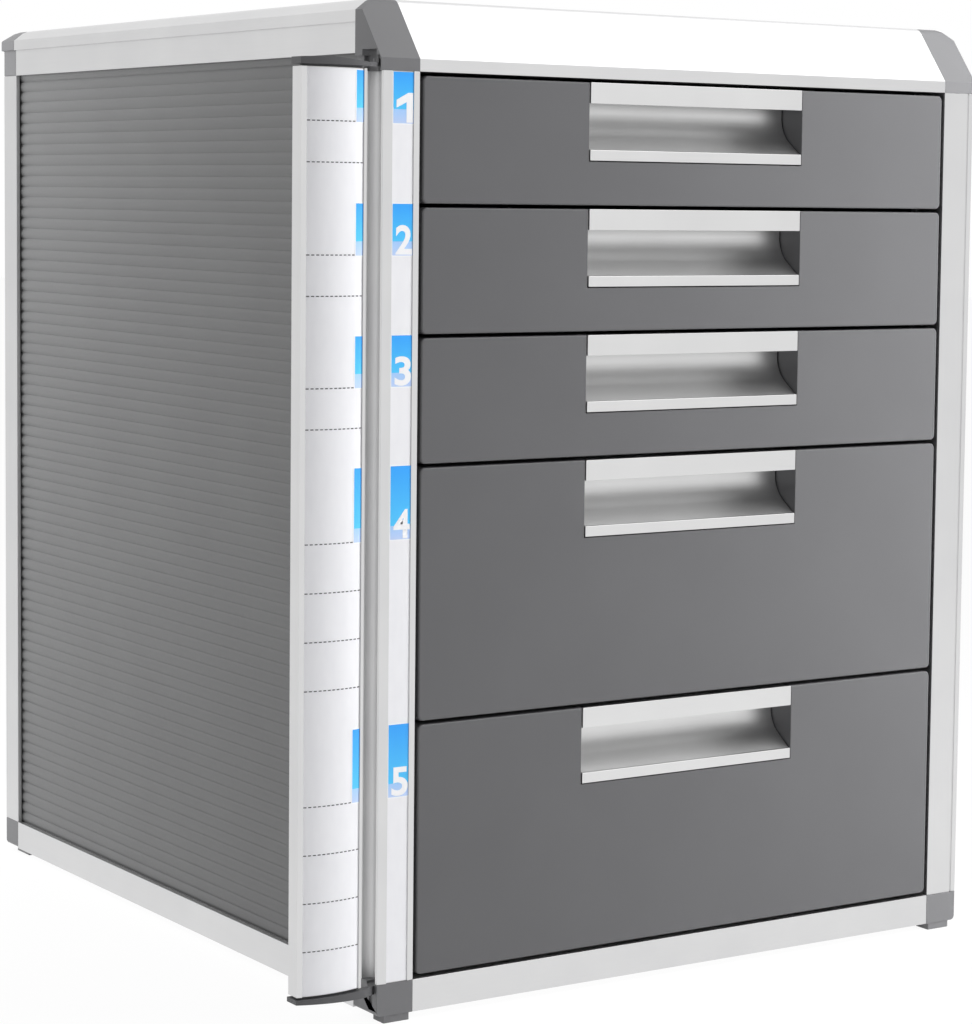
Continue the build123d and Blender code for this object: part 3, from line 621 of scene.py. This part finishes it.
# %% Print the dashed lines
DASH = 1.2
DASH_PITCH = 1.93
DASH_HEIGHT = 0.42
DASH_START = FLAP_WINDOW[0] + 0.3
DASHES_UNDER_TAB = 2           # dashes that the tab takes the place of
SMALL_SPACING = 15.6
LARGE_SPACING = 18.8
SMALL_LINES = 2
LARGE_LINES = 4


def dashes(z_mm, first):
    count = int((FLAP_WINDOW[1] - first - DASH) // DASH_PITCH) + 1
    for i in range(count):
        side = first + DASH_PITCH * i
        yield (side, side + DASH, z_mm, z_mm + DASH_HEIGHT)


for number, bottom, _, large in tab_places():
    spacing, lines = (LARGE_SPACING, LARGE_LINES) if large else (SMALL_SPACING, SMALL_LINES)
    beside_tab = DASH_START + DASHES_UNDER_TAB * DASH_PITCH
    rectangles = list(dashes(bottom, beside_tab))
    for i in range(1, lines):
        rectangles += dashes(bottom - spacing * i, DASH_START)
    printed(f"flap_dashes_{number}", on_flap, rectangles, LINE_INK, "index_flap")
    print("dashes beside drawer", number, len(rectangles))

# %% [markdown]
# The floor is a plain pale surface. To the camera it is nearly white, so that the cabinet stands on
# a clean page, and it still keeps a soft shadow. Reflections see the white page too, or the metal
# would look darker than it is. The same sum of rays serves the floor and the surroundings.

# %% Floor
PAGE_SHARE = 0.9
PAGE_GLOW = 1.04
FLOOR_FRONT = -6.0
FLOOR_SIDE = 6.0
FLOOR_BACK = 9.0


def rays_that_see_the_page(tree):
    rays = add_node(tree, "ShaderNodeLightPath").outputs
    direct = add_node(tree, "ShaderNodeMath", {"operation": "ADD", "use_clamp": True},
                      links={0: rays["Is Camera Ray"], 1: rays["Is Glossy Ray"]})
    both = add_node(tree, "ShaderNodeMath", {"operation": "ADD", "use_clamp": True},
                    links={0: direct.outputs["Value"], 1: rays["Is Transmission Ray"]})
    return both.outputs["Value"]


floor_mesh = bpy.data.meshes.new("floor")
floor_mesh.from_pydata([(-FLOOR_SIDE, FLOOR_FRONT, 0), (FLOOR_SIDE, FLOOR_FRONT, 0),
                        (FLOOR_SIDE, FLOOR_BACK, 0), (-FLOOR_SIDE, FLOOR_BACK, 0)], [], [(0, 1, 2, 3)])
floor = bpy.data.objects.new("floor", floor_mesh)
bpy.context.scene.collection.objects.link(floor)
floor_finish, tree, shader, _ = new_finish("pale_floor_paint", "#eeeeee", 0.0, 0.7)
glow = add_node(tree, "ShaderNodeEmission", values={"Color": linear("#ffffff"), "Strength": PAGE_GLOW})
share = add_node(tree, "ShaderNodeMapRange", values={"To Max": PAGE_SHARE},
                 links={"Value": rays_that_see_the_page(tree)})
blend = add_node(tree, "ShaderNodeMixShader", links={0: share.outputs["Result"], 1: shader.outputs["BSDF"],
                                                     2: glow.outputs["Emission"]})
tree.links.new(blend.outputs["Shader"], tree.nodes["Material Output"].inputs["Surface"])
floor.data.materials.append(floor_finish)
print("floor", floor.dimensions[:2], "m")

# %% [markdown]
# The light is a plain photo tent: an even pale surrounding, a large soft box high on the right, and
# two tall strip lights. The one on the right in front makes the drawer fronts lighter towards the
# right, and the one on the left behind makes the side sheet lighter towards the back. The strip
# lights aren't seen in reflections, so the satin metal stays even.

# %% Surrounding light
SURROUND = 0.28
world = bpy.data.worlds.new("photo_tent")
bpy.context.scene.world = world
world.use_nodes = True
surround = world.node_tree.nodes["Background"]
strength = add_node(world.node_tree, "ShaderNodeMapRange", values={"To Min": SURROUND, "To Max": 1.0},
                    links={"Value": rays_that_see_the_page(world.node_tree)})
world.node_tree.links.new(strength.outputs["Result"], surround.inputs["Strength"])
surround.inputs["Color"].default_value = linear("#ffffff")
print("surround", SURROUND)

# %% Soft boxes
STRIP_SIZE = (0.3, 1.1)


def soft_box(name, place, target, size, watts, reflected):
    lamp = bpy.data.lights.new(name, "AREA")
    lamp.shape = "RECTANGLE"
    lamp.size, lamp.size_y = size
    lamp.energy = watts
    holder = bpy.data.objects.new(name, lamp)
    holder.location = place
    holder.rotation_euler = (Vector(target) - Vector(place)).to_track_quat("-Z", "Y").to_euler()
    holder.visible_camera = False
    holder.visible_glossy = reflected
    bpy.context.scene.collection.objects.link(holder)


soft_box("soft_box_high", place=(0.85, -0.55, 1.5), target=(0, 0, 0.3), size=(1.2, 1.2), watts=6.0,
         reflected=True)
soft_box("strip_light_right", place=(0.48, -0.45, 0.3), target=(0.1, -0.18, 0.2), size=STRIP_SIZE,
         watts=8.0, reflected=False)
soft_box("strip_light_left", place=(-0.38, 0.42, 0.3), target=(-0.13, 0.15, 0.2), size=STRIP_SIZE,
         watts=4.2, reflected=False)
print("lamps", len(bpy.data.lights))

# %% [markdown]
# The camera stands where the photographer stood: in front, to the left, a little below the cabinet's
# top, with a long lens. The picture is cropped off-centre, which is what the small shift is for.

# %% Camera
CAMERA_PLACE = (-0.69944, -1.14463, 0.32454)
CAMERA_TURN = (85.373, -0.731, -34.24)      # degrees about X, Y and Z
SENSOR_WIDTH = 36.0
FOCAL_LENGTH = 102.273
SHIFT = (-0.0884, -0.0781)
camera_data = bpy.data.cameras.new("camera")
camera_data.sensor_width = SENSOR_WIDTH
camera_data.lens = FOCAL_LENGTH
camera_data.shift_x, camera_data.shift_y = SHIFT
camera = bpy.data.objects.new("camera", camera_data)
camera.location = CAMERA_PLACE
camera.rotation_euler = [math.radians(angle) for angle in CAMERA_TURN]
bpy.context.scene.collection.objects.link(camera)
bpy.context.scene.camera = camera
bpy.context.scene.view_settings.view_transform = "Standard"
print("camera", [round(v, 3) for v in camera.location], "lens", camera_data.lens)

# %% [markdown]
# Last, a closing line is printed.

# %% Closing line
print("scene built")
